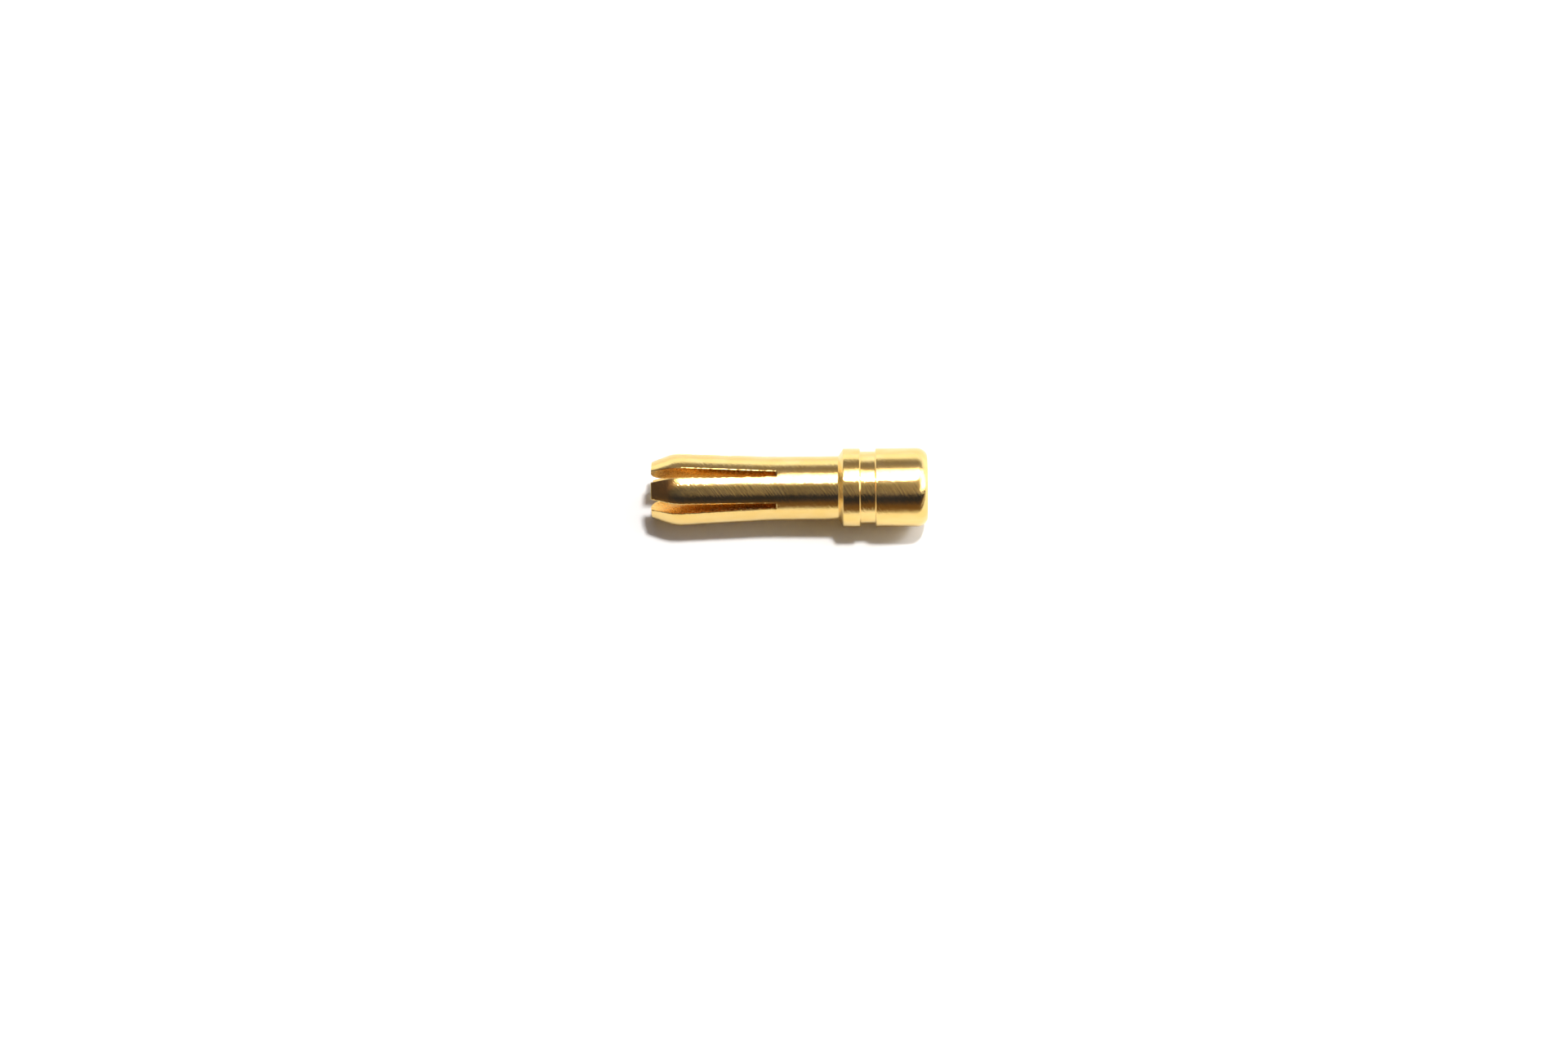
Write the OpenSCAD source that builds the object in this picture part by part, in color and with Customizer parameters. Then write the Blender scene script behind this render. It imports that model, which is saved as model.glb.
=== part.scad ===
// Gold-plated bullet plug for a battery lead.
// One turned piece: a slotted, spread pin, a collar, a groove and a solder cup.
// It lies on its side, tip towards -X, resting on two tines and the collar.
// Millimetres, +Z up, origin under the middle of the plug.

/* [Pin] */
// Length of the pin, from its tip to the collar
pin_l = 14.2; // [12.5:0.1:17.0]
// Diameter of the pin as turned, before the tines are spread
shank_d = 4.87; // [4.6:0.01:5.1]
// Diameter of the nose at the tip, before the tines are spread
nose_d = 3.4; // [3.1:0.05:3.8]
// Distance from the tip to where the nose reaches the full pin diameter
nose_l = 2.36; // [2.1:0.02:2.7]
// Radius that blends the nose cone into the pin
nose_round = 3.2; // [2.6:0.1:3.6]

/* [Tines] */
// Number of spring tines, with one slot between each two
tines = 6; // [4:1:8]
// Width of the saw slots
slot_w = 0.42; // [0.3:0.02:0.6]
// Length of the slots along the surface of the pin
slot_l = 9.5; // [8.0:0.1:11.0]
// How much shorter the slots are at the bore than at the surface
slot_runout = 0.2; // [0.1:0.05:0.4]
// Distance from the slot roots to the line where the tines bend outwards
bend_ahead = 0.5; // [0.3:0.05:1.0]
// Angle by which each tine is bent outwards
spread = 3.1; // [1.5:0.1:4.0]

/* [Tip bore] */
// Diameter of the bore between the tines
bore_d = 1.4; // [1.2:0.05:1.8]
// How far the bore runs past the slot roots
bore_past = 1.0; // [0.6:0.1:1.8]
// Radius of the bell mouth at the tip
mouth_round = 0.7; // [0.4:0.05:0.8]

/* [Collar and barrel] */
// Diameter of the collar and of the barrel
collar_d = 6.0; // [5.6:0.1:6.6]
// Length of the collar, with the cone on its front
collar_l = 1.6; // [1.2:0.1:2.4]
// Length of the cone that leads from the pin up to the collar
cone_l = 0.37; // [0.2:0.01:0.6]
// Width of the groove behind the collar
groove_l = 1.27; // [0.8:0.05:2.0]
// Diameter at the bottom of the groove
groove_d = 5.55; // [5.2:0.05:5.75]
// Size of the small bevels on the edges of the groove
groove_bevel = 0.07; // [0.03:0.01:0.12]
// Length of the barrel behind the groove
barrel_l = 3.9; // [3.0:0.1:6.0]
// Radius of the rounded rear edge
lip_round = 0.93; // [0.6:0.01:1.1]

/* [Solder cup] */
// Diameter of the solder cup
cup_d = 4.6; // [4.0:0.1:4.8]
// Depth of the solder cup, without its drill point
cup_l = 6.0; // [4.5:0.1:6.5]
// Size of the bevel on the mouth of the cup
cup_bevel = 0.12; // [0.05:0.01:0.2]

/* [Hidden] */
$fn = 96;

gold = "#d9a845";

// Radii, and stations along the plug measured from its tip.
pin_r = shank_d / 2;
nose_r = nose_d / 2;
bore_r = bore_d / 2;
collar_r = collar_d / 2;
groove_r = groove_d / 2;
cup_r = cup_d / 2;
groove_x = pin_l + collar_l;
barrel_x = groove_x + groove_l;
plug_l = barrel_x + barrel_l;
bend_x = slot_l - bend_ahead;

// Drills leave a 118 degree point.
drill_half_angle = 59;
bore_l = slot_l + bore_past;
bore_point_l = bore_r / tan(drill_half_angle);
cup_point_l = cup_r / tan(drill_half_angle);

// The nose cone runs from the tip edge and meets the nose radius at a tangent.
round_r = pin_r - nose_round;
to_round = [round_r - nose_r, nose_l];
cone_run = sqrt(to_round * to_round - nose_round * nose_round);
cone_angle = asin(nose_round / norm(to_round)) + atan2(round_r - nose_r, nose_l);
cone_end_x = cone_run * cos(cone_angle);
cone_end_r = nose_r + cone_run * sin(cone_angle);

// The rounded rear edge ends at the rim of the cup's bevel.
rim_r = cup_r + cup_bevel + 0.05;
lip_drop = collar_r - rim_r;
lip_x = plug_l - sqrt(lip_round * lip_round - pow(lip_round - lip_drop, 2));

// A tine is one sector of the pin, less half a slot on each side.
pitch = 360 / tines;
wedge_r = slot_w / 2 / sin(pitch / 2);
wedge_far = pin_r + 1;
// Each tine turns about a line through the middle of its wall.
bend_r = (pin_r + bore_r) / 2;
// The tines run this far into the solid pin behind the bend.
tine_root = 0.2;
clear = 1;

// The plug lies with a slot underneath, so it touches the floor on the edges
// of two tines, where the nose starts, and on the front edge of the collar.
edge_angle = asin(slot_w / 2 / pin_r);
lift = (bend_x - nose_l) * sin(spread);
foot_r = pin_r * cos(edge_angle) + lift * cos(pitch / 2);
heel_x = pin_l + cone_l;
rest_tilt = atan2(collar_r - foot_r, heel_x - nose_l);
rest_z = collar_r * cos(rest_tilt) - heel_x * sin(rest_tilt);
tip_r = nose_r + (bend_x * sin(spread)) * cos(pitch / 2);
rest_x = (plug_l * cos(rest_tilt) + (rim_r - tip_r) * sin(rest_tilt)) / 2;

// Profiles are drawn as [radius, distance from the tip].

module pin_profile(to) {
    polygon([[0, 0], [nose_r, 0], [cone_end_r, cone_end_x], [0, cone_end_x]]);
    intersection() {
        translate([round_r, nose_l]) circle(nose_round, $fn = 360);
        translate([0, cone_end_x]) square([pin_r, nose_l - cone_end_x]);
    }
    translate([0, nose_l]) square([pin_r, to - nose_l]);
}

module bore_profile() {
    polygon([
        [0, -clear], [bore_r, -clear], [bore_r, bore_l], [0, bore_l + bore_point_l]
    ]);
}

// The tip's inner edge is rounded over, like a bell mouth.
module bell_mouth_profile() {
    difference() {
        square([bore_r + mouth_round, mouth_round]);
        translate([bore_r + mouth_round, mouth_round]) circle(mouth_round);
    }
}

module groove_profile() {
    polygon([
        [groove_r, groove_x + groove_bevel],
        [collar_r - groove_bevel, groove_x + groove_bevel],
        [collar_r, groove_x],
        [collar_r + clear, groove_x],
        [collar_r + clear, barrel_x],
        [collar_r, barrel_x],
        [collar_r - groove_bevel, barrel_x - groove_bevel],
        [groove_r, barrel_x - groove_bevel]
    ]);
}

module cup_profile() {
    polygon([
        [0, plug_l - cup_l - cup_point_l],
        [cup_r, plug_l - cup_l],
        [cup_r, plug_l - cup_bevel],
        [cup_r + cup_bevel, plug_l],
        [cup_r + cup_bevel, plug_l + clear],
        [0, plug_l + clear]
    ]);
}

module barrel_profile() {
    difference() {
        union() {
            polygon([
                [0, bend_x], [pin_r, bend_x], [pin_r, pin_l], [collar_r, heel_x],
                [collar_r, lip_x], [0, lip_x]
            ]);
            intersection() {
                translate([collar_r - lip_round, lip_x]) circle(lip_round);
                translate([0, lip_x]) square([collar_r, plug_l - lip_x]);
            }
        }
        groove_profile();
        cup_profile();
    }
}

// A turned shape, with its axis along X and its tip at the origin.
module turned() {
    rotate([0, 90, 0]) rotate_extrude() children();
}

// The sector that one tine fills, pointing along +Z.
module tine_wedge() {
    rotate([0, 90, 0])
        linear_extrude(bend_x + tine_root)
            polygon([
                [-wedge_r, 0],
                [-wedge_r - wedge_far * cos(pitch / 2), wedge_far * sin(pitch / 2)],
                [-wedge_r - wedge_far * cos(pitch / 2), -wedge_far * sin(pitch / 2)]
            ]);
}

module tine() {
    translate([bend_x, 0, bend_r])
        rotate([0, spread, 0])
            translate([-bend_x, 0, -bend_r])
                intersection() {
                    turned() difference() {
                        pin_profile(bend_x + tine_root);
                        bore_profile();
                        bell_mouth_profile();
                    }
                    tine_wedge();
                }
}

// One saw cut, from the tip to a sloping end, on the +Z side of the axis.
module slot() {
    rotate([90, 0, 0])
        linear_extrude(slot_w, center = true)
            polygon([
                [-clear, 0],
                [slot_l - slot_runout, 0],
                [slot_l - slot_runout, bore_r],
                [slot_l, pin_r],
                [slot_l, pin_r + clear],
                [-clear, pin_r + clear]
            ]);
}

module bullet_plug() {
    color(gold)
        translate([-rest_x, 0, rest_z])
            rotate([0, -rest_tilt, 0])
                difference() {
                    union() {
                        turned() barrel_profile();
                        for (i = [0 : tines - 1])
                            rotate([180 + (i + 0.5) * pitch, 0, 0]) tine();
                    }
                    for (i = [0 : tines - 1])
                        rotate([180 + i * pitch, 0, 0]) slot();
                    turned() bore_profile();
                }
}

bullet_plug();
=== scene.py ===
"""A gold-plated bullet plug for a battery lead, dressed and lit for its portrait."""

import logging
from dataclasses import dataclass
from enum import Enum
from math import acos, asin, atan2, cos, degrees, hypot, pi, radians, sin, sqrt, tan
from typing import Any, Callable, Sequence

import bmesh
import bpy
from mathutils import Matrix, Vector


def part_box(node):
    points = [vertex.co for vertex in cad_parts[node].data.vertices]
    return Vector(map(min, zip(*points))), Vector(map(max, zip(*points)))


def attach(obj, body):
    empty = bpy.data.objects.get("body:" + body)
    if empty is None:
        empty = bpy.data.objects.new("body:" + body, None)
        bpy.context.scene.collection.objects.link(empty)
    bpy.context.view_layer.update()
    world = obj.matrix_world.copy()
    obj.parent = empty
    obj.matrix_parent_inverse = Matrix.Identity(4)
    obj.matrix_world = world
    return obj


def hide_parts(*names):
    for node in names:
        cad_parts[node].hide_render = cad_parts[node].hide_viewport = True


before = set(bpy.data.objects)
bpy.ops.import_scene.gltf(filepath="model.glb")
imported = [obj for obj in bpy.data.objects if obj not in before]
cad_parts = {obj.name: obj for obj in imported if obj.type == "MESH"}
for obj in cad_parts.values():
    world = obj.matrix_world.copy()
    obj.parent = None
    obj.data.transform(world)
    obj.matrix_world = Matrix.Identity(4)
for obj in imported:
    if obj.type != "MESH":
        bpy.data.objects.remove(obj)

LOG = logging.getLogger("bullet_plug")

MM = 0.001
NODE = "bullet_plug"
PLACE = "straight_place"
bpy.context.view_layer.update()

Point = tuple[float, float]
Corner = tuple[float, float, float]
Colour = tuple[float, float, float]


class Region(Enum):
    """The kinds of surface that machining leaves on the plug, in material slot order."""

    TURNED = 0
    SAWN = 1
    BORED = 2


# --------------------------------------------------------------------------- shader maths


class Wire:
    """A socket of a node tree that takes part in Python arithmetic."""

    def __init__(self, graph: "Graph", socket: bpy.types.NodeSocket) -> None:
        """Wraps one socket.

        Args:
            graph: the node graph that the socket is in.
            socket: the output socket to wrap.
        """
        self.graph = graph
        self.socket = socket

    def _math(self, operation: str, *values: Any) -> "Wire":
        """Adds one Math node.

        Args:
            operation: the Math node's operation.
            values: numbers or wires, in socket order.

        Returns:
            The node's value.
        """
        return self.graph.node("ShaderNodeMath", {"operation": operation}, dict(enumerate(values)))

    def __add__(self, other: Any) -> "Wire":
        """self + other."""
        return self._math("ADD", self, other)

    def __sub__(self, other: Any) -> "Wire":
        """self - other."""
        return self._math("SUBTRACT", self, other)

    def __rsub__(self, other: Any) -> "Wire":
        """other - self."""
        return self._math("SUBTRACT", other, self)

    def __mul__(self, other: Any) -> "Wire":
        """self * other."""
        return self._math("MULTIPLY", self, other)

    def __truediv__(self, other: Any) -> "Wire":
        """self / other."""
        return self._math("DIVIDE", self, other)

    def sine(self) -> "Wire":
        """The sine of the value."""
        return self._math("SINE", self)

    def cosine(self) -> "Wire":
        """The cosine of the value."""
        return self._math("COSINE", self)

    def angle_to(self, other: "Wire") -> "Wire":
        """The angle whose tangent is self / other."""
        return self._math("ARCTAN2", self, other)

    def least(self, other: Any) -> "Wire":
        """The smaller of self and other."""
        return self._math("MINIMUM", self, other)

    def size(self) -> "Wire":
        """The value without its sign."""
        return self._math("ABSOLUTE", self)

    def ramp(self, low: float, high: float, to_low: float = 0.0, to_high: float = 1.0) -> "Wire":
        """Maps low..high smoothly onto to_low..to_high and holds the ends.

        Args:
            low: the value that gives to_low.
            high: the value that gives to_high.
            to_low: the result at low.
            to_high: the result at high.

        Returns:
            The mapped value.
        """
        return self.graph.node(
            "ShaderNodeMapRange",
            {"interpolation_type": "SMOOTHSTEP"},
            {"Value": self, "From Min": low, "From Max": high, "To Min": to_low, "To Max": to_high},
        )


@dataclass(frozen=True)
class Pattern:
    """A fractal noise on the straight plug, in features for each millimetre."""

    along: float
    across: float
    detail: float = 2.0
    rough: float = 0.5
    scale: float = 1.0


class Graph:
    """A node tree that is written as expressions."""

    def __init__(self, tree: bpy.types.NodeTree) -> None:
        """Empties the tree.

        Args:
            tree: the material's or world's node tree.
        """
        self.tree = tree
        tree.nodes.clear()

    def node(
        self, kind: str, settings: dict[str, Any], inputs: dict[Any, Any], output: Any = 0
    ) -> Wire:
        """Adds one node, sets it up and links it.

        Args:
            kind: the node's type.
            settings: its own settings, with the stops of a ramp as "stops".
            inputs: a value or a wire for each named or numbered input.
            output: the output to return, by name or number.

        Returns:
            The wrapped output.
        """
        made = self.tree.nodes.new(kind)
        stops = settings.get("stops")
        for name, value in settings.items():
            if name != "stops":
                setattr(made, name, value)
        if stops:
            self._set_stops(made.color_ramp, stops)
        for name, value in inputs.items():
            if isinstance(value, Wire):
                self.tree.links.new(value.socket, made.inputs[name])
            else:
                made.inputs[name].default_value = value
        return Wire(self, made.outputs[output]) if len(made.outputs) else Wire(self, made.inputs[0])

    @staticmethod
    def _set_stops(ramp: bpy.types.ColorRamp, stops: Sequence[tuple[float, Colour]]) -> None:
        """Gives a colour ramp its stops.

        Args:
            ramp: the colour ramp.
            stops: position and colour of each stop, in order.
        """
        while len(ramp.elements) < len(stops):
            ramp.elements.new(1.0)
        for element, (place, colour) in zip(ramp.elements, stops):
            element.position = place
            element.color = (*colour, 1.0)

    def split(self, vector: Wire) -> tuple[Wire, Wire, Wire]:
        """Splits a vector into its three values."""
        first = self.node("ShaderNodeSeparateXYZ", {}, {0: vector})
        outputs = first.socket.node.outputs
        return Wire(self, outputs[0]), Wire(self, outputs[1]), Wire(self, outputs[2])

    def join(self, x: Any, y: Any, z: Any) -> Wire:
        """Joins three values into a vector."""
        return self.node("ShaderNodeCombineXYZ", {}, {0: x, 1: y, 2: z})

    def noise(self, pattern: Pattern, x: Wire, y: Wire, z: Wire) -> Wire:
        """Fractal noise from about 0 to 1.

        Args:
            pattern: how fine and how rough the noise is.
            x: distance along the straight plug.
            y: distance across it.
            z: distance up from its axis.

        Returns:
            The noise value.
        """
        inputs = {
            "Vector": self.join(x * pattern.along, y * pattern.across, z * pattern.across),
            "Scale": pattern.scale,
            "Detail": pattern.detail,
            "Roughness": pattern.rough,
        }
        return self.node("ShaderNodeTexNoise", {}, inputs)

    def mix(self, factor: Any, low: Any, high: Any) -> Wire:
        """Mixes two colours.

        Args:
            factor: 0 for low, 1 for high.
            low: colour or wire.
            high: colour or wire.

        Returns:
            The mixed colour.
        """
        return self.node(
            "ShaderNodeMix", {"data_type": "RGBA"}, {0: factor, 6: low, 7: high}, output=2
        )


# --------------------------------------------------------------------------- sizes


@dataclass(frozen=True)
class PlugSizes:
    """The plug's own dimensions in millimetres, measured along its axis from the tip."""

    pin_l: float = 14.2
    pin_r: float = 2.435
    nose_r: float = 1.7
    nose_l: float = 2.36
    nose_round: float = 3.2
    tines: int = 6
    slot_w: float = 0.42
    slot_l: float = 9.5
    slot_runout: float = 0.2
    bend_ahead: float = 0.5
    spread: float = 3.1
    bore_r: float = 0.7
    bore_past: float = 1.0
    mouth_round: float = 0.7
    collar_r: float = 3.0
    collar_l: float = 1.6
    cone_l: float = 0.37
    groove_l: float = 1.27
    groove_r: float = 2.775
    groove_bevel: float = 0.07
    barrel_l: float = 3.9
    lip_round: float = 0.93
    cup_r: float = 2.3
    cup_l: float = 6.0
    cup_bevel: float = 0.12
    rim_land: float = 0.05
    drill_half_angle: float = 59.0
    tip_round: float = 0.05
    root_round: float = 0.06
    heel_round: float = 0.07
    groove_edge_round: float = 0.05
    groove_bevel_round: float = 0.02
    groove_floor_round: float = 0.03
    cup_floor_round: float = 0.05
    cup_mouth_round: float = 0.04
    rim_round: float = 0.015

    @property
    def groove_x(self) -> float:
        """Start of the groove."""
        return self.pin_l + self.collar_l

    @property
    def barrel_x(self) -> float:
        """Start of the barrel."""
        return self.groove_x + self.groove_l

    @property
    def length(self) -> float:
        """Length of the whole plug."""
        return self.barrel_x + self.barrel_l

    @property
    def bend_x(self) -> float:
        """Where the tines bend outwards."""
        return self.slot_l - self.bend_ahead

    @property
    def pitch(self) -> float:
        """Angle from one tine to the next, in degrees."""
        return 360.0 / self.tines

    @property
    def heel_x(self) -> float:
        """Front edge of the collar's full diameter."""
        return self.pin_l + self.cone_l

    @property
    def drill_slope(self) -> float:
        """Depth of a drill point for each millimetre of its radius."""
        return tan(radians(90 - self.drill_half_angle))

    @property
    def rest_tilt(self) -> float:
        """How far the axis rises towards the cup where the plug lies, in degrees."""
        edge = asin(self.slot_w / 2 / self.pin_r)
        lift = (self.bend_x - self.nose_l) * sin(radians(self.spread))
        foot_r = self.pin_r * cos(edge) + lift * cos(radians(self.pitch / 2))
        return degrees(atan2(self.collar_r - foot_r, self.heel_x - self.nose_l))


PLUG = PlugSizes()


# --------------------------------------------------------------------------- modelling by hand


class Bench:
    """The modelling tools, used on one object in edit mode."""

    @staticmethod
    def clear() -> None:
        """Leaves edit mode and deselects everything."""
        if bpy.context.object and bpy.context.object.mode != "OBJECT":
            bpy.ops.object.mode_set(mode="OBJECT")
        bpy.ops.object.select_all(action="DESELECT")

    @staticmethod
    def focus(piece: bpy.types.Object) -> None:
        """Makes a piece the only selected and active one."""
        Bench.clear()
        piece.select_set(True)
        bpy.context.view_layer.objects.active = piece

    @staticmethod
    def edit(piece: bpy.types.Object, kind: str) -> None:
        """Opens a piece in edit mode with nothing selected.

        Args:
            piece: the piece.
            kind: what is picked there: VERT, EDGE or FACE.
        """
        Bench.focus(piece)
        bpy.ops.object.mode_set(mode="EDIT")
        bpy.ops.mesh.select_mode(type=kind)
        bpy.ops.mesh.select_all(action="DESELECT")

    @staticmethod
    def pick(piece: bpy.types.Object, kind: str, wanted: Callable[[Any], bool]) -> int:
        """Selects the elements of the piece in edit mode that a test accepts.

        Args:
            piece: the piece being edited.
            kind: verts, edges or faces.
            wanted: the test on one element.

        Returns:
            How many were selected.
        """
        mesh = bmesh.from_edit_mesh(piece.data)
        bpy.ops.mesh.select_all(action="DESELECT")
        chosen = [element for element in getattr(mesh, kind) if wanted(element)]
        for element in chosen:
            element.select_set(True)
        mesh.select_flush_mode()
        bmesh.update_edit_mesh(piece.data)
        return len(chosen)

    @staticmethod
    def apply(piece: bpy.types.Object, kind: str, **settings: Any) -> None:
        """Adds a modifier and applies it.

        Args:
            piece: the piece.
            kind: the modifier's type.
            settings: its settings.
        """
        Bench.focus(piece)
        modifier = piece.modifiers.new(kind.lower(), kind)
        for name, value in settings.items():
            setattr(modifier, name, value)
        bpy.ops.object.modifier_apply(modifier=modifier.name)


# A corner that turns less than this is left as it is.
STRAIGHT = radians(0.5)


def rounded(corners: Sequence[Corner], step: float) -> list[Point]:
    """Rounds the corners of an open outline.

    Args:
        corners: along, out and rounding radius of each corner.
        step: the most that one short side of a rounding turns, in degrees.

    Returns:
        The outline's points.
    """
    points: list[Point] = [corners[0][:2]]
    for before, corner, after in zip(corners, corners[1:], corners[2:]):
        here = Vector(corner[:2])
        into = (here - Vector(before[:2])).normalized()
        out = (Vector(after[:2]) - here).normalized()
        turn = into.angle_signed(out)
        if corner[2] <= 0.0 or abs(turn) < STRAIGHT:
            points.append(corner[:2])
            continue
        reach = corner[2] * tan(abs(turn) / 2)
        start = here - into * reach
        side = Vector((-into.y, into.x)) * (-1.0 if turn > 0 else 1.0)
        centre = start + side * corner[2]
        sides = max(1, round(degrees(abs(turn)) / step))
        for index in range(sides + 1):
            arm = (start - centre).to_3d()
            arm.rotate(Matrix.Rotation(-turn * index / sides, 3, "Z"))
            points.append((centre.x + arm.x, centre.y + arm.y))
    points.append(corners[-1][:2])
    return points


@dataclass
class BulletPlug:
    """The whole plug: turned, bored, slotted and spread as the real one is.

    Attributes:
        sizes: the plug's dimensions.
        around: sides of the turned forms. At 90 no lengthwise edge crosses a slot's edge.
        rounding_step: the most that one side of a rounding turns, in degrees.
        lip_sides: sides of the barrel's rounded lip.
        ring_past: how far past the slots the pin has a ring of edges.
        ring_before: how far before the slots' ends it has another.
        overrun: how far the saw runs out past the tip and past the pin's sides.
        bend_steps: stations along the bend, less one.
        bend_reach: half the length of the bend.
        burr: how far the slots' edges are rounded.
        burr_sides: sides of that rounding.
        end_burr: how far the slots' ends are rounded.
        end_burr_sides: sides of that rounding.
        sharp_angle: the least turn of an edge that is rounded, in degrees.
        smooth_angle: the most that smooth shading hides, in degrees.
        nose_slack: how far inside the nose's tip an edge still counts as outside.
        near: how close two measures are to be the same.
        weld: how close two vertices are to be merged.
        cut_weld: the same for a cut through a saw blade.
    """

    sizes: PlugSizes = PLUG
    around: int = 90
    rounding_step: float = 4.0
    lip_sides: int = 14
    ring_past: float = 0.6
    ring_before: float = 4.0
    overrun: float = 1.0
    bend_steps: int = 8
    bend_reach: float = 0.55
    burr: float = 0.035
    burr_sides: int = 2
    end_burr: float = 0.09
    end_burr_sides: int = 3
    sharp_angle: float = 35.0
    smooth_angle: float = 22.0
    nose_slack: float = 0.02
    near: float = 0.001
    weld: float = 1e-4
    cut_weld: float = 1e-5

    def cup_outline(self) -> list[Corner]:
        """The solder cup, from its drill point out to the rim, as corners with roundings."""
        s = self.sizes
        floor_x = s.length - s.cup_l
        return [
            (floor_x - s.cup_r * s.drill_slope, 0.0, 0.0),
            (floor_x, s.cup_r, s.cup_floor_round),
            (s.length - s.cup_bevel, s.cup_r, s.cup_mouth_round),
            (s.length, s.cup_r + s.cup_bevel, s.rim_round),
        ]

    def lip_outline(self) -> list[Corner]:
        """The barrel's rounded lip, from the rim land to the full diameter."""
        s = self.sizes
        rim_r = s.cup_r + s.cup_bevel + s.rim_land
        sink = s.lip_round - (s.collar_r - rim_r)
        lip_x = s.length - sqrt(s.lip_round**2 - sink**2)
        rim_angle = acos((s.length - lip_x) / s.lip_round)
        lip = []
        for index in range(self.lip_sides + 1):
            angle = rim_angle + (pi / 2 - rim_angle) * index / self.lip_sides
            out = s.collar_r - s.lip_round + s.lip_round * sin(angle)
            lip.append((lip_x + s.lip_round * cos(angle), out, 0.0))
        return lip

    def groove_outline(self) -> list[Corner]:
        """The housing groove and the collar, down to the pin."""
        s = self.sizes
        bevel_r = s.collar_r - s.groove_bevel
        return [
            (s.barrel_x, s.collar_r, s.groove_edge_round),
            (s.barrel_x - s.groove_bevel, bevel_r, s.groove_bevel_round),
            (s.barrel_x - s.groove_bevel, s.groove_r, s.groove_floor_round),
            (s.groove_x + s.groove_bevel, s.groove_r, s.groove_floor_round),
            (s.groove_x + s.groove_bevel, bevel_r, s.groove_bevel_round),
            (s.groove_x, s.collar_r, s.groove_edge_round),
            (s.heel_x, s.collar_r, s.heel_round),
            (s.pin_l, s.pin_r, s.root_round),
        ]

    def pin_outline(self) -> list[Corner]:
        """The pin, its nose and the bell mouth, in to the bore's drill point."""
        s = self.sizes
        toward = Vector((s.nose_l, s.pin_r - s.nose_round - s.nose_r))
        slope = asin(s.nose_round / toward.length) + atan2(toward.y, toward.x)
        bore_end = s.slot_l + s.bore_past
        return [
            (s.slot_l + self.ring_past, s.pin_r, 0.0),
            (s.slot_l - self.ring_before, s.pin_r, 0.0),
            ((s.pin_r - s.nose_r) / tan(slope), s.pin_r, s.nose_round),
            (0.0, s.nose_r, s.tip_round),
            (0.0, s.bore_r, s.mouth_round),
            (bore_end, s.bore_r, 0.0),
            (bore_end + s.bore_r * s.drill_slope, 0.0, 0.0),
        ]

    def turn(self) -> bpy.types.Object:
        """Draws the half section and spins it about the axis.

        Returns:
            The turned blank, in millimetres, with its axis along X.
        """
        Bench.clear()
        corners = [
            *self.cup_outline(), *self.lip_outline(), *self.groove_outline(), *self.pin_outline()
        ]
        outline = rounded(corners, self.rounding_step)
        bpy.ops.mesh.primitive_plane_add(size=0.1, location=(outline[0][0], 0.0, 0.0))
        blank = bpy.context.object
        blank.name = "plug_body"
        bpy.ops.object.transform_apply(location=True)
        bpy.ops.object.mode_set(mode="EDIT")
        bpy.ops.mesh.select_all(action="SELECT")
        bpy.ops.mesh.merge(type="CENTER")
        for before, after in zip(outline, outline[1:]):
            step = (after[0] - before[0], 0.0, after[1] - before[1])
            bpy.ops.mesh.extrude_region_move(TRANSFORM_OT_translate={"value": step})
        bpy.ops.mesh.select_all(action="SELECT")
        bpy.ops.mesh.spin(steps=self.around, angle=2 * pi, center=(0, 0, 0), axis=(1, 0, 0))
        bpy.ops.mesh.select_all(action="SELECT")
        bpy.ops.mesh.remove_doubles(threshold=self.weld)
        bpy.ops.mesh.normals_make_consistent(inside=False)
        bpy.ops.object.mode_set(mode="OBJECT")
        return blank

    def saw(self, blank: bpy.types.Object) -> None:
        """Cuts the slots, each saw cut making two opposite ones.

        Args:
            blank: the turned blank.
        """
        s = self.sizes
        middle = (s.slot_l - self.overrun) / 2
        for index in range(s.tines // 2):
            Bench.clear()
            bpy.ops.mesh.primitive_cube_add(size=1.0, location=(middle, 0.0, 0.0))
            cutter = bpy.context.object
            cutter.scale = (s.slot_l + self.overrun, s.slot_w, 2 * (s.pin_r + self.overrun))
            bpy.ops.object.transform_apply(location=True, scale=True)
            Bench.edit(cutter, "VERT")
            for height in (-s.pin_r, -s.bore_r, s.bore_r, s.pin_r):
                bpy.ops.mesh.select_all(action="SELECT")
                bpy.ops.mesh.bisect(
                    plane_co=(0, 0, height), plane_no=(0, 0, 1), threshold=self.cut_weld
                )
            reach = s.bore_r + self.near
            Bench.pick(cutter, "verts", lambda v: v.co.x > middle and abs(v.co.z) < reach)
            bpy.ops.transform.translate(value=(-s.slot_runout, 0.0, 0.0))
            bpy.ops.object.mode_set(mode="OBJECT")
            cutter.rotation_euler.x = radians(s.pitch * index)
            bpy.ops.object.transform_apply(rotation=True)
            Bench.apply(blank, "BOOLEAN", object=cutter, operation="DIFFERENCE", solver="EXACT")
            bpy.data.objects.remove(cutter)

    def slot_offset(self, co: Vector) -> float:
        """How far a place on the straight plug is from the nearest slot's middle plane."""
        turns = [radians(self.sizes.pitch * index) for index in range(self.sizes.tines // 2)]
        return min(abs(co.y * cos(turn) + co.z * sin(turn)) for turn in turns)

    def break_edges(self, blank: bpy.types.Object) -> None:
        """Rounds the slots' outer edges, where the saw's burr was brushed off.

        Args:
            blank: the slotted plug.
        """
        s = self.sizes
        half = s.slot_w / 2
        sharp = radians(self.sharp_angle)

        def outside(edge: bmesh.types.BMEdge) -> bool:
            """Whether an edge is a sharp one on the outside of the pin."""
            turn = edge.calc_face_angle(0.0) if len(edge.link_faces) == 2 else 0.0
            least = s.nose_r - self.nose_slack
            return turn > sharp and all(hypot(v.co.y, v.co.z) > least for v in edge.verts)

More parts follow.
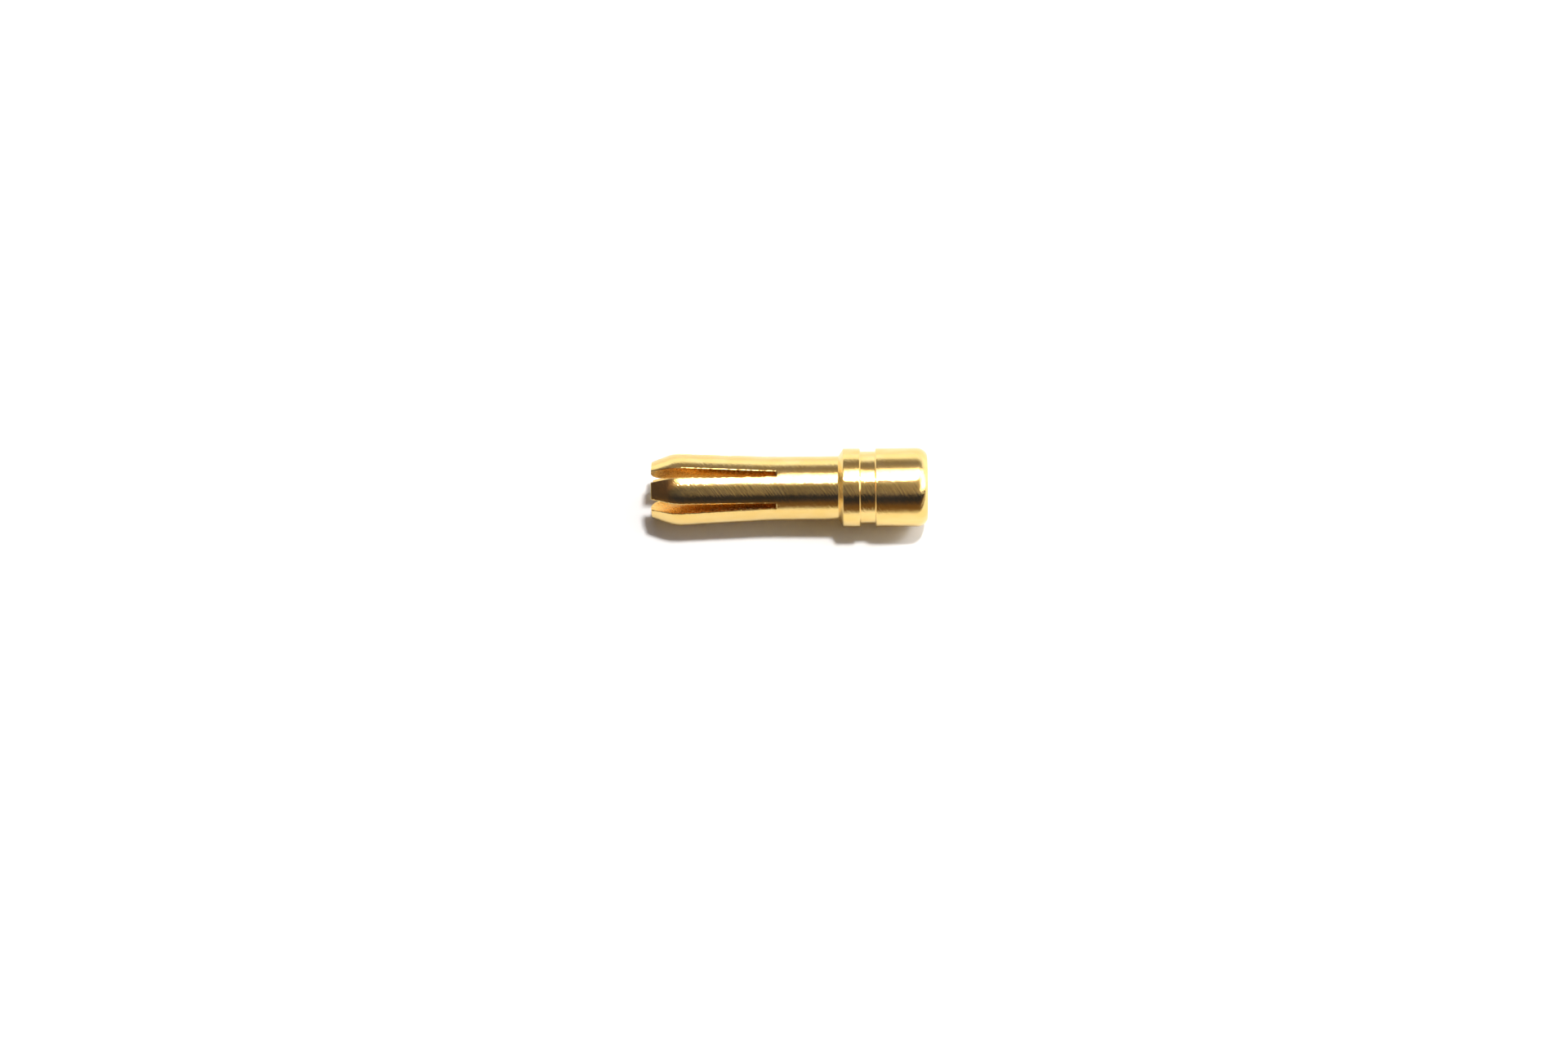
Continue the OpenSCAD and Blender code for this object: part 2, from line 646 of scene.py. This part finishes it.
        def at_slot_end(edge: bmesh.types.BMEdge) -> bool:
            """Whether an edge is where a slot runs out."""
            return outside(edge) and all(abs(v.co.x - s.slot_l) < self.near for v in edge.verts)

        def beside_slot(edge: bmesh.types.BMEdge) -> bool:
            """Whether an edge runs along a slot."""
            offsets = [self.slot_offset(v.co) - half for v in edge.verts]
            return outside(edge) and all(abs(offset) < self.near for offset in offsets)

        Bench.edit(blank, "EDGE")
        count = Bench.pick(blank, "edges", at_slot_end)
        bpy.ops.mesh.bevel(
            offset=self.end_burr, segments=self.end_burr_sides, clamp_overlap=False
        )
        count += Bench.pick(blank, "edges", beside_slot)
        bpy.ops.mesh.bevel(offset=self.burr, segments=self.burr_sides, clamp_overlap=False)
        bpy.ops.mesh.select_all(action="SELECT")
        bpy.ops.mesh.remove_doubles(threshold=self.weld)
        LOG.info("slots: %d edge lengths rounded", count)

    def note_place(self, blank: bpy.types.Object) -> None:
        """Notes where each vertex is on the straight plug, in millimetres, for the finishes.

        Args:
            blank: the slotted plug, before its tines are bent.
        """
        Bench.focus(blank)
        bpy.ops.geometry.attribute_add(name=PLACE, domain="POINT", data_type="FLOAT_VECTOR")
        places = [value for vert in blank.data.vertices for value in vert.co]
        blank.data.attributes[PLACE].data.foreach_set("vector", places)

    def region_of(self, face: bpy.types.MeshPolygon) -> Region:
        """Tells how a face of the straight plug was cut.

        Args:
            face: the face.

        Returns:
            Its kind of surface.
        """
        s = self.sizes
        out = hypot(face.center.y, face.center.z)
        if out < s.bore_r + self.near:
            return Region.BORED
        if face.center.x > s.barrel_x and out < s.cup_r + self.near:
            return Region.BORED
        in_slot = self.slot_offset(face.center) < s.slot_w / 2 + self.near
        if in_slot and face.center.x < s.slot_l + self.near:
            return Region.SAWN
        return Region.TURNED

    def bend(self, blank: bpy.types.Object) -> None:
        """Spreads the tines, a little at each station along the bend.

        Args:
            blank: the slotted plug.
        """
        s = self.sizes
        reach = self.bend_reach
        steps = range(self.bend_steps + 1)
        stations = [s.bend_x - reach + 2 * reach * step / self.bend_steps for step in steps]
        Bench.edit(blank, "VERT")
        for station in stations:
            bpy.ops.mesh.select_all(action="SELECT")
            bpy.ops.mesh.bisect(
                plane_co=(station, 0, 0), plane_no=(1, 0, 0), threshold=self.weld
            )
        bpy.ops.object.mode_set(mode="OBJECT")
        self.note_place(blank)
        regions = [self.region_of(face) for face in blank.data.polygons]
        for face, region in zip(blank.data.polygons, regions):
            face.material_index = region.value
        hinge_r = (s.pin_r + s.bore_r) / 2
        limit = cos(radians(s.pitch / 2))

        def ahead_of(place: float) -> Callable[[bmesh.types.BMVert], bool]:
            """A test for what is on the tine toward +Y, on the tip side of a place."""
            return lambda v: v.co.x < place - self.near and v.co.y > limit * hypot(v.co.y, v.co.z)

        Bench.edit(blank, "VERT")
        for _ in range(s.tines):
            for station in stations:
                Bench.pick(blank, "verts", ahead_of(station))
                bpy.ops.transform.rotate(
                    value=radians(s.spread) / len(stations),
                    orient_axis="Z",
                    center_override=(station, hinge_r, 0.0),
                )
            bpy.ops.mesh.select_all(action="SELECT")
            bpy.ops.transform.rotate(
                value=radians(s.pitch), orient_axis="X", center_override=(0.0, 0.0, 0.0)
            )
        bpy.ops.object.mode_set(mode="OBJECT")

    def tidy(self, blank: bpy.types.Object) -> None:
        """Splits the many-sided faces that the saw cuts left and smooths the turned ones.

        Args:
            blank: the bent plug.
        """
        Bench.edit(blank, "FACE")
        Bench.pick(blank, "faces", lambda face: len(face.verts) > 4)
        bpy.ops.mesh.quads_convert_to_tris(quad_method="BEAUTY", ngon_method="BEAUTY")
        bpy.ops.object.mode_set(mode="OBJECT")
        bpy.ops.object.shade_smooth_by_angle(angle=radians(self.smooth_angle))

    def build(self) -> bpy.types.Object:
        """Makes the plug and lays it where the CAD solid lies.

        Returns:
            The finished piece.
        """
        blank = self.turn()
        self.saw(blank)
        self.break_edges(blank)
        self.dress(blank)
        self.bend(blank)
        self.lay_down(blank)
        self.tidy(blank)
        return blank

    def dress(self, piece: bpy.types.Object) -> None:
        """Gives the plug its gold, one finish for each kind of surface, with painted shade as a
        deeper tint on the slot walls and in the bores.

        Args:
            piece: the slotted plug.
        """
        piece.data.materials.clear()
        for region in Region:
            piece.data.materials.append(FINISHES_AND_PAINTED_SHADE[region].make())

    def lay_down(self, piece: bpy.types.Object) -> None:
        """Scales the plug to metres, tilts it to its rest and puts it on the CAD solid.

        Args:
            piece: the finished mesh in millimetres.
        """
        Bench.focus(piece)
        piece.rotation_euler = (0.0, -radians(self.sizes.rest_tilt), 0.0)
        piece.scale = (MM, MM, MM)
        bpy.ops.object.transform_apply(rotation=True, scale=True)
        low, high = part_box(NODE)
        places = [vert.co for vert in piece.data.vertices]
        middle = (min(co.x for co in places) + max(co.x for co in places)) / 2
        base = min(co.z for co in places)
        piece.location = ((low.x + high.x) / 2 - middle, 0.0, low.z - base)
        bpy.ops.object.transform_apply(location=True)


# --------------------------------------------------------------------------- finishes, with painted shade in the slots and bores


STREAKS = Pattern(along=1.3, across=4.5, detail=4.0, rough=0.72)
PATCHES = Pattern(along=0.5, across=1.0, detail=1.0, scale=1.3)
RINGS = Pattern(along=14.0, across=0.0, detail=3.0, rough=0.7)
SAW_MARKS = Pattern(along=0.8, across=7.0)
GRAIN = Pattern(along=30.0, across=30.0)
RAGS = Pattern(along=3.5, across=2.0)

# What part of a noise's range is spread out, and what the rags make of it.
STREAK_RANGE = (0.3, 0.7)
PATCH_RANGE = (0.35, 0.7)
RAG_RANGE = (0.3, 0.65)
RAG_SHARE = (0.4, 1.1)


@dataclass(frozen=True)
class GoldPlate:
    """Bright gold plate over turned, sawn or bored brass, with heights in millimetres."""

    name: str
    tint: Colour = (0.96, 0.70, 0.27)
    deep_tint: Colour = (0.94, 0.66, 0.22)
    roughness: float = 0.09
    roughness_swing: tuple[float, float] = (0.8, 1.3)
    streak: float = 0.018
    ring: float = 0.0006
    saw_mark: float = 0.0
    roll: float = 0.0
    roll_reach: float = 0.11
    grain: float = 0.0004
    streak_twist: float = -0.55

    def rolled_edge(self, graph: Graph, x: Wire, y: Wire, z: Wire) -> Wire:
        """The height that brushing took off beside the slots.

        Args:
            graph: the material's graph.
            x: distance along the straight plug.
            y: distance across it.
            z: distance up from its axis.

        Returns:
            The height in millimetres, from minus roll at a slot's edge to 0.
        """
        s = PLUG
        nearest = None
        for index in range(s.tines // 2):
            turn = radians(s.pitch * index)
            offset = (y * cos(turn) + z * sin(turn)).size()
            nearest = offset if nearest is None else nearest.least(offset)
        edge = s.slot_w / 2
        beside = nearest.ramp(edge, edge + self.roll_reach, 1.0, 0.0)
        ragged = graph.noise(RAGS, x, y, z).ramp(*RAG_RANGE, *RAG_SHARE)
        return beside * ragged * x.ramp(s.slot_l, s.slot_l + self.roll_reach, -self.roll, 0.0)

    def make(self) -> bpy.types.Material:
        """Builds the material.

        Returns:
            The material.
        """
        material = bpy.data.materials.new(self.name)
        material.use_nodes = True
        graph = Graph(material.node_tree)
        place = graph.node("ShaderNodeAttribute", {"attribute_name": PLACE}, {}, output="Vector")
        x, y, z = graph.split(place)

        # Streaks lie along a steep helix: the pattern is nearly constant along it.
        twist = x * self.streak_twist
        y_turned = y * twist.cosine() - z * twist.sine()
        z_turned = y * twist.sine() + z * twist.cosine()
        streaks = graph.noise(STREAKS, x, y_turned, z_turned)
        patches = graph.noise(PATCHES, x, y, z)
        rings = graph.noise(RINGS, x, y, z)
        saw_marks = graph.noise(SAW_MARKS, x, y, z)
        grain = graph.noise(GRAIN, x, y, z)

        height = streaks * self.streak + rings * self.ring
        height = height + saw_marks * self.saw_mark + grain * self.grain
        if self.roll:
            height = height + self.rolled_edge(graph, x, y, z)
        bump = graph.node("ShaderNodeBump", {}, {"Strength": 1.0, "Distance": MM, "Height": height})
        colour = graph.mix(patches.ramp(*PATCH_RANGE), (*self.deep_tint, 1.0), (*self.tint, 1.0))
        least, most = self.roughness_swing
        rough = streaks.ramp(*STREAK_RANGE, self.roughness * least, self.roughness * most)
        shader = graph.node(
            "ShaderNodeBsdfPrincipled",
            {},
            {"Base Color": colour, "Metallic": 1.0, "Roughness": rough, "Normal": bump},
        )
        graph.node("ShaderNodeOutputMaterial", {}, {"Surface": shader})
        return material


FINISHES_AND_PAINTED_SHADE = {
    Region.TURNED: GoldPlate("turned_gold", roll=0.016),
    # The slot walls' deeper, browner tint is painted shade in the narrow slots; their roughness and
    # saw marks are the sawn finish.
    Region.SAWN: GoldPlate(
        "sawn_gold_painted_shade",
        tint=(0.93, 0.62, 0.22),
        deep_tint=(0.9, 0.56, 0.17),
        roughness=0.24,
        streak=0.0,
        saw_mark=0.0018,
    ),
    # The bore's and cup's deeper tint is painted shade inside the hollows; their roughness and
    # rings are the bored finish.
    Region.BORED: GoldPlate(
        "bored_gold_painted_shade",
        tint=(0.94, 0.66, 0.25),
        deep_tint=(0.92, 0.62, 0.2),
        roughness=0.2,
        streak=0.0,
        ring=0.004,
    ),
}


# --------------------------------------------------------------------------- studio


@dataclass(frozen=True)
class Wall:
    """One side of the room, as colours by angle from the front horizon up over the top."""

    stops: tuple[tuple[float, Colour], ...]

    def paint(self, graph: Graph, turn: Wire) -> Wire:
        """The wall's colour.

        Args:
            graph: the world's graph.
            turn: the angle, from 0 at the front horizon to 1 at the back one.

        Returns:
            The colour.
        """
        stops = [(angle / 180.0, colour) for angle, colour in self.stops]
        return graph.node("ShaderNodeValToRGB", {"stops": stops}, {0: turn})


PALE = (1.25, 1.3, 1.42)
LAMP = (6.0, 5.9, 5.8)
DIM = (0.26, 0.23, 0.24)
BROWN = (0.15, 0.09, 0.045)
BLACK = (0.03, 0.031, 0.055)
WARM = (0.28, 0.17, 0.13)
SHADE = (0.07, 0.05, 0.055)
FLAG = (0.108, 0.102, 0.12)
CARD = (0.82, 0.81, 0.8)
WHITE = (1.0, 1.0, 1.0)


@dataclass
class Studio:
    """A white card under one long soft light, in a dim room with a pale back wall.

    Lengths are in millimetres and angles in degrees. A wall begins where the direction
    leans to its side by the second number of its pair, and blends in from the first.
    """

    elevation: float = 63.0
    lens: float = 100.0
    sensor: float = 36.0
    frame_width: float = 119.2
    aim_right: float = -0.43
    aim_up: float = -2.58
    floor_size: float = 3.0
    card_front: float = -18.5
    card_soft: float = 1.0
    table_glow: float = 1.02
    room_fill: float = 0.28
    lamp_right: float = 9.0
    lamp_behind: float = 5.8
    lamp_spread: float = 7.0
    lamp_power: float = 2.4
    fill_place: tuple[float, float, float] = (65.0, 32.0, 32.0)
    fill_size: float = 24.0
    fill_power: float = 0.03
    flag_far: float = 100.0
    flag_angle: float = 61.0
    flag_half: float = 15.0
    flag_left: float = -60.0
    flag_right: float = 11.0
    flag_fade_x: float = 1.0
    flag_fade_top: float = 6.0
    left_edge: tuple[float, float] = (0.1, 0.22)
    corner_edge: tuple[float, float] = (0.42, 0.62)
    far_left_edge: tuple[float, float] = (0.935, 0.965)
    right_edge: tuple[float, float] = (0.55, 0.75)
    middle: Wall = Wall(
        (
            (0.0, BROWN), (12.0, BROWN), (14.5, BLACK), (42.0, BLACK), (48.0, (0.4, 0.34, 0.31)),
            (72.0, (0.45, 0.4, 0.38)), (91.0, (0.7, 0.64, 0.58)), (93.0, LAMP), (114.0, LAMP),
            (117.0, (0.6, 0.54, 0.48)), (126.0, (0.5, 0.45, 0.42)), (129.0, DIM), (153.0, DIM),
            (156.0, PALE), (180.0, PALE),
        )
    )
    left: Wall = Wall(
        (
            (0.0, BROWN), (12.0, BROWN), (16.0, BLACK), (52.0, BLACK), (66.0, WARM), (96.0, WARM),
            (124.0, DIM), (152.0, DIM), (156.0, PALE),
        )
    )
    corner: Wall = Wall(
        ((0.0, BROWN), (8.0, BROWN), (14.0, SHADE), (120.0, SHADE), (150.0, DIM), (156.0, PALE))
    )
    far_left: Wall = Wall(
        ((0.0, BROWN), (12.0, PALE), (60.0, (0.7, 0.68, 0.66)), (120.0, PALE), (180.0, PALE))
    )
    right: Wall = Wall(
        (
            (0.0, PALE), (10.0, BROWN), (30.0, BLACK), (50.0, (0.2, 0.19, 0.2)), (62.0, LAMP),
            (118.0, LAMP), (128.0, DIM), (150.0, PALE),
        )
    )

    def light_room(self) -> None:
        """Paints the world: the room for light and gloss, plain white behind for the camera."""
        world = bpy.data.worlds.new("studio")
        bpy.context.scene.world = world
        world.use_nodes = True
        graph = Graph(world.node_tree)
        x, y, z = graph.split(graph.node("ShaderNodeTexCoord", {}, {}, output="Generated"))
        turn = z.angle_to(y * -1.0) / pi
        to_left = x * -1.0
        room = self.middle.paint(graph, turn)
        for side, edge, wall in (
            (to_left, self.left_edge, self.left),
            (to_left, self.corner_edge, self.corner),
            (to_left, self.far_left_edge, self.far_left),
            (x, self.right_edge, self.right),
        ):
            room = graph.mix(side.ramp(*edge), room, wall.paint(graph, turn))
        rays = graph.node("ShaderNodeLightPath", {}, {}, output="Is Camera Ray")
        diffuse = graph.node("ShaderNodeLightPath", {}, {}, output="Is Diffuse Ray")
        colour = graph.mix(rays, room, (*WHITE, 1.0))
        strength = 1.0 - diffuse * (1.0 - self.room_fill)
        background = graph.node("ShaderNodeBackground", {}, {"Color": colour, "Strength": strength})
        graph.node("ShaderNodeOutputWorld", {}, {"Surface": background})

    def lay_floor(self) -> None:
        """Lays the white card that the plug lies on; its front edge mirrors in the plug."""
        Bench.clear()
        low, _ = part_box(NODE)
        bpy.ops.mesh.primitive_plane_add(size=self.floor_size, location=(0.0, 0.0, low.z))
        floor = bpy.context.object
        floor.name = "table"
        bpy.ops.object.transform_apply(location=True)
        material = bpy.data.materials.new("white_table")
        material.use_nodes = True
        graph = Graph(material.node_tree)
        rays = graph.node("ShaderNodeLightPath", {}, {}, output="Is Camera Ray")
        _, y, _ = graph.split(graph.node("ShaderNodeTexCoord", {}, {}, output="Object"))
        front, back = self.card_front - self.card_soft, self.card_front + self.card_soft
        card = graph.mix(y.ramp(front * MM, back * MM), (*BROWN, 1.0), (*CARD, 1.0))
        glow = self.table_glow
        colour = graph.mix(rays, card, (glow, glow, glow, 1.0))
        shader = graph.node("ShaderNodeBsdfDiffuse", {}, {"Color": colour})
        graph.node("ShaderNodeOutputMaterial", {}, {"Surface": shader})
        floor.data.materials.append(material)

    def hang_flag(self) -> None:
        """Hangs the dark flag that dulls the pin's face; only the plug mirrors it."""
        Bench.clear()
        angle = radians(self.flag_angle)
        half = self.flag_far * tan(radians(self.flag_half))
        middle = (self.flag_left + self.flag_right) / 2
        centre = Vector((middle, -cos(angle) * self.flag_far, sin(angle) * self.flag_far))
        bpy.ops.mesh.primitive_plane_add(
            size=1.0, location=centre * MM, rotation=(pi / 2 - angle, 0.0, 0.0)
        )
        flag = bpy.context.object
        flag.name = "flag"
        flag.scale = ((self.flag_right - self.flag_left) * MM, 2 * half * MM, 1.0)
        bpy.ops.object.transform_apply(location=True, rotation=True, scale=True)
        material = bpy.data.materials.new("dark_flag")
        material.use_nodes = True
        graph = Graph(material.node_tree)
        x, _, z = graph.split(graph.node("ShaderNodeTexCoord", {}, {}, output="Object"))
        top = (sin(angle) * self.flag_far + half * cos(angle)) * MM
        cover = x.ramp(self.flag_fade_x * MM, self.flag_right * MM, 1.0, 0.0)
        cover = cover * z.ramp(top - self.flag_fade_top * MM, top, 1.0, 0.0)
        dark = graph.node("ShaderNodeEmission", {}, {"Color": (*FLAG, 1.0), "Strength": 1.0})
        clear = graph.node("ShaderNodeBsdfTransparent", {}, {})
        shader = graph.node("ShaderNodeMixShader", {}, {0: cover, 1: clear, 2: dark})
        graph.node("ShaderNodeOutputMaterial", {}, {"Surface": shader})
        flag.data.materials.append(material)
        flag.visible_camera = flag.visible_diffuse = flag.visible_shadow = False

    def hang_lamp(self) -> None:
        """Hangs the soft lamp that throws the short shadow, high on the right."""
        Bench.clear()
        bpy.ops.object.light_add(
            type="SUN", rotation=(-radians(self.lamp_behind), radians(self.lamp_right), 0.0)
        )
        lamp = bpy.context.object
        lamp.name = "lamp"
        lamp.data.energy = self.lamp_power
        lamp.data.angle = radians(self.lamp_spread)

    def hang_fill(self) -> None:
        """Hangs a small fill behind the cup's end, which lightens the shadow there."""
        Bench.clear()
        place = Vector(self.fill_place) * MM
        bpy.ops.object.light_add(type="AREA", location=place)
        fill = bpy.context.object
        fill.name = "fill"
        fill.rotation_euler = place.to_track_quat("Z", "Y").to_euler()
        fill.data.size = self.fill_size * MM
        fill.data.energy = self.fill_power
        fill.visible_glossy = False

    def set_camera(self) -> None:
        """Looks down on the plug from the front."""
        Bench.clear()
        low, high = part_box(NODE)
        centre = Vector((0.0, 0.0, (low.z + high.z) / 2))
        angle = radians(self.elevation)
        right = Vector((1.0, 0.0, 0.0))
        up = Vector((0.0, sin(angle), cos(angle)))
        back = Vector((0.0, -cos(angle), sin(angle)))
        aim = centre + right * self.aim_right * MM + up * self.aim_up * MM
        reach = self.frame_width * MM * self.lens / self.sensor
        bpy.ops.object.camera_add(location=aim + back * reach, rotation=(pi / 2 - angle, 0.0, 0.0))
        camera = bpy.context.object
        camera.data.lens = self.lens
        camera.data.sensor_width = self.sensor
        camera.data.clip_start = MM
        bpy.context.scene.camera = camera

    def build(self) -> None:
        """Sets up the floor, the light and the camera."""
        self.lay_floor()
        self.light_room()
        self.hang_flag()
        self.hang_lamp()
        self.hang_fill()
        self.set_camera()
        bpy.context.scene.view_settings.view_transform = "Standard"


def main() -> None:
    """Builds the plug and its studio."""
    logging.basicConfig(level=logging.INFO, format="%(name)s: %(message)s")
    plug = BulletPlug()
    piece = plug.build()
    LOG.info("plug: %d faces", len(piece.data.polygons))
    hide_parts(NODE)
    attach(piece, "root")
    Studio().build()
    LOG.info("studio: card, room light, flag, lamp, fill and camera")


if __name__ == "__main__":
    main()
